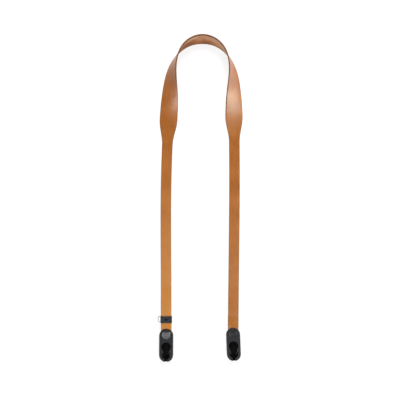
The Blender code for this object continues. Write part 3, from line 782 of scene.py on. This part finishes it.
def makeClip(name, thumbedNylon):
    thickness = strandInClip + band["thickness"] + band["gap"] + clip["frontPlate"]
    front, back = clip["frontRound"], clip["backRound"]
    # height and inset of each ring; both rims are quarter rounds
    levels = [(0.0, back), (back * 0.134, back * 0.5), (back * 0.5, back * 0.134), (back, 0.0)]
    for i in range(7):
        a = math.radians(15 * i)
        levels.append((thickness - front + front * math.sin(a), front * (1 - math.cos(a))))
    rings = []
    for height, inset in levels:
        outline = stadium(clip["length"] - 2 * inset, clip["width"] - 2 * inset)
        rings.append([(x, y - inset, height) for x, y in outline])
    body = ringBody(name, rings, mouldedNylon)

    floorTop = clip["socketFloor"]
    socketTop = thickness - clip["lipThickness"]
    entryY = -clip["socketAt"]
    seatY = entryY - clip["socketTravel"]
    entryRadius, seatRadius = clip["entryRadius"], clip["seatRadius"]
    halfChannel = band["slimWidth"] / 2 + clip["channelSideGap"]
    channelEnd = loopCentre + loopRadius + band["thickness"] / 2 + clip["channelEndGap"]

    # two circles joined by a waist
    entryDeg = math.degrees(math.asin(clip["waist"] / 2 / entryRadius))
    seatDeg = math.degrees(math.asin(clip["waist"] / 2 / seatRadius))
    keyhole = arcPoints(0, entryY, entryRadius, entryDeg - 90, 270 - entryDeg, 44)
    keyhole += arcPoints(0, seatY, seatRadius, 90 + seatDeg, 450 - seatDeg, 40)
    # the same pair in one hull, wider by the lips' reach
    wideSeat = seatRadius + clip["lipReach"]
    wideEntry = entryRadius + clip["entryLip"]
    lean = math.degrees(math.asin((wideEntry - wideSeat) / clip["socketTravel"]))
    undercut = arcPoints(0, entryY, wideEntry, -lean, 180 + lean, 40)
    undercut += arcPoints(0, seatY, wideSeat, 180 + lean, 360 - lean, 40)

    tongueTop = entryY + entryRadius * clip["tongueRoot"]
    tongueTip = tongueTop - clip["tongueLength"]
    inner = clip["tongueWidth"] / 2
    outer = inner + clip["slit"]
    slit = [(-outer, tongueTop), (-outer, tongueTip - clip["slit"]), (outer, tongueTip - clip["slit"]),
            (outer, tongueTop), (inner, tongueTop), (inner, tongueTip),
            (-inner, tongueTip), (-inner, tongueTop)]
    padTop = tongueTop - clip["padInset"]
    pad = roundedBox(clip["padWidth"] / 2, padTop - clip["padLength"], padTop, clip["padCorner"])

    # the dish is a half round with a flatter top; each ring is a share of it, and a share of the depth
    halfDish = clip["dishWidth"] / 2
    corner = halfDish * clip["dishCorner"]
    dishOutline = arcPoints(halfDish - corner, -corner, corner, 0, 90, 8)
    dishOutline += arcPoints(corner - halfDish, -corner, corner, 90, 180, 8)
    dishOutline += arcPoints(0, halfDish - clip["dishLength"], halfDish, 180, 360, 28)
    dishMiddle = -clip["dishLength"] * clip["dishMiddle"]
    dish = []
    for scale, depth in ((1.0, -0.6), (1.0, 0.0), (0.94, 0.14), (0.86, 0.32), (0.74, 0.55), (0.60, 0.75),
                         (0.44, 0.90), (0.26, 0.98), (0.10, 1.0)):
        dish.append([(x * scale, dishMiddle + (y - dishMiddle) * scale - clip["dishAt"],
                      thickness - depth * clip["dishDepth"]) for x, y in dishOutline])

    barHalf = barPlace["thickness"] / 2
    barHeight = band["thickness"] + band["gap"] + barHalf
    barOffset = (barPlace["length"] - barPlace["thickness"]) / 2
    barOutline = arcPoints(barOffset, barHeight, barHalf, -90, 90, 10)
    barOutline += arcPoints(-barOffset, barHeight, barHalf, 90, 270, 10)
    barEnd = halfChannel + cutterPast
    bar = [[(x, y - barPlace["fromEnd"], z) for y, z in barOutline] for x in (-barEnd, barEnd)]

    past = thickness + cutterPast
    channelTop = thickness - clip["frontPlate"]
    padBottom, padFace = floorTop - clip["padSunk"], floorTop + clip["padHeight"]
    tipY = -clip["length"] - cutterPast
    halfExit = clip["exitWidth"] / 2
    channelBox = [(-halfChannel, -channelEnd), (halfChannel, -channelEnd),
                  (halfChannel, cutterPast), (-halfChannel, cutterPast)]
    exitBox = [(-halfExit, tipY), (halfExit, tipY), (halfExit, seatY), (-halfExit, seatY)]
    cuts = [
        ("DIFFERENCE", "channel", prism(channelBox, -cutterPast, channelTop), mouldedNylon),
        ("UNION", "bar", bar, mouldedNylon),
        ("DIFFERENCE", "undercut", prism(undercut, floorTop, socketTop), paintedShadeSocketNylon),
        ("DIFFERENCE", "keyhole", prism(keyhole, (floorTop + socketTop) / 2, past), paintedShadeSocketNylon),
        ("DIFFERENCE", "exitSlot", prism(exitBox, floorTop + clip["exitSill"], past), paintedShadeSocketNylon),
        ("DIFFERENCE", "tongueSlit", prism(slit, -cutterPast, floorTop + cutterPast), paintedShadeSocketNylon),
        ("UNION", "tonguePad", prism(pad, padBottom, padFace), paintedShadeSocketNylon),
        ("DIFFERENCE", "thumbDish", dish, thumbedNylon),
    ]
    return carve(body, [(operation, ringBody(toolName, rings, material))
                        for operation, toolName, rings, material in cuts], clip["edgeWidth"])


for name, node, mouth, heading, turnDeg in (
        ("leftClip", "clip_left", leftMouth, leftHeading, halves["left"]["clipTurnDeg"]),
        ("rightClip", "clip_right", rightMouth, rightHeading, halves["right"]["clipTurnDeg"])):
    body = makeClip(name, dishNylon[name[:-4] + "Dish"])
    barAt = mouth + bandShift + heading * barPlace["fromEnd"]
    body.matrix_world = (Matrix.Translation(barAt) @ Matrix.Rotation(math.radians(turnDeg), 4, "Z")
                         @ Matrix.Translation((0, barPlace["fromEnd"], 0)))
    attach(body, "root")
    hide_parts(node)
    print("strap scene:", name, len(body.data.polygons), "faces")


# Adjuster: a saddle plate over the leather and a wire bow through its flanges

plate = {
    "thickness": 0.0011, "flange": 0.0006, "rounding": 0.0009, "crown": 0.00012, "edgeWidth": 0.00018,
    "dimpleLength": 0.0056, "dimpleWidth": 0.0038, "dimpleDepth": 0.0004,
    "bowReach": 0.0058, "bowInset": 0.0013, "bowCorner": 0.0016,
}
plateUnderside = strandInKeeper + band["thickness"] + band["gap"]
bowHeight = adjuster["lift"] + adjuster["wire"] / 2
plateHalf = adjuster["length"] / 2
flangeInner = band["slimWidth"] / 2 + band["gap"]
flangeOuter = flangeInner + plate["flange"]


def makePlate():
    top = plateUnderside + plate["thickness"]
    corner = plate["rounding"]
    rings = []
    for i in range(17):
        y = mixValue(-plateHalf, plateHalf, i / 16)
        sag = plate["crown"] * (y / plateHalf) ** 2
        flat = flangeOuter - corner
        outside = [(flangeOuter, 0.0)] + arcPoints(flat, top - corner, corner, 0, 90, 8)
        outside += [(mixValue(flat, -flat, k / 12), top) for k in range(1, 12)]
        outside += arcPoints(-flat, top - corner, corner, 90, 180, 8) + [(-flangeOuter, 0.0)]
        inside = [(-flangeInner, 0.0), (-flangeInner, plateUnderside),
                  (flangeInner, plateUnderside), (flangeInner, 0.0)]
        rings.append([(x, y, z - sag * (z > plateUnderside)) for x, z in outside]
                     + [(x, y, z) for x, z in inside])
    body = ringBody("adjusterPlate", rings, blackedPlate)
    steps = []
    hole = arcPoints(0, 0, adjuster["wire"] / 2 + band["gap"], 0, 350, 35)
    drillEnd = flangeOuter + cutterPast
    for side in (1, -1):
        centreY = side * (plateHalf - plate["bowInset"])
        drill = [[(x, centreY + y, bowHeight + z) for y, z in hole] for x in (-drillEnd, drillEnd)]
        steps.append(("DIFFERENCE", ringBody("bowHole", drill, blackedPlate)))
    dimple = []
    for scale, depth in ((1.0, -0.8), (1.0, -0.1), (0.94, 0.2), (0.84, 0.5),
                         (0.7, 0.76), (0.5, 0.93), (0.25, 1.0)):
        dimple.append([(x * scale * plate["dimpleLength"] / 2, y * scale * plate["dimpleWidth"] / 2,
                        top - depth * plate["dimpleDepth"]) for x, y in arcPoints(0, 0, 1, 0, 352.5, 47)])
    steps.append(("DIFFERENCE", ringBody("dimple", dimple, dimpleZinc)))
    return carve(body, steps, plate["edgeWidth"])


def makeBow():
    halfSpan = plateHalf - plate["bowInset"]
    far = -(band["slimWidth"] / 2 + plate["bowReach"] - adjuster["wire"] / 2)
    corner = plate["bowCorner"]
    route = [(mixValue(flangeOuter, far + corner, i / 6), halfSpan) for i in range(6)]
    route += arcPoints(far + corner, halfSpan - corner, corner, 90, 180, 10)
    route += arcPoints(far + corner, corner - halfSpan, corner, 180, 270, 10)
    route += [(mixValue(far + corner, flangeOuter, i / 6), -halfSpan) for i in range(1, 7)]
    rings = []
    for i, point in enumerate(route):
        way = (Vector(route[min(i + 1, len(route) - 1)]) - Vector(route[max(i - 1, 0)])).normalized()
        side = Vector((-way.y, way.x)) * adjuster["wire"] / 2
        rings.append([(point[0] + side.x * math.cos(a), point[1] + side.y * math.cos(a),
                       bowHeight + math.sin(a) * adjuster["wire"] / 2)
                      for a in (math.radians(20 * k) for k in range(18))])
    body = ringBody("adjusterBow", rings, drawnWire)
    body.data.shade_smooth()
    body.data.set_sharp_from_angle(angle=math.radians(50))
    return body


plateCentre = leftMouth + bandShift - leftHeading * (adjuster["fromClip"] + plateHalf)
plateTurn = math.atan2(leftHeading.x, -leftHeading.y)
for body, node, slot in ((makePlate(), "keeper_plate", "keeper_plate_metal"),
                         (makeBow(), "keeper_bail", "keeper_wire_steel")):
    body.matrix_world = Matrix.Translation(plateCentre) @ Matrix.Rotation(plateTurn, 4, "Z")
    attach(body, "root")
    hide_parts(node)
print("strap scene: clips and adjuster")
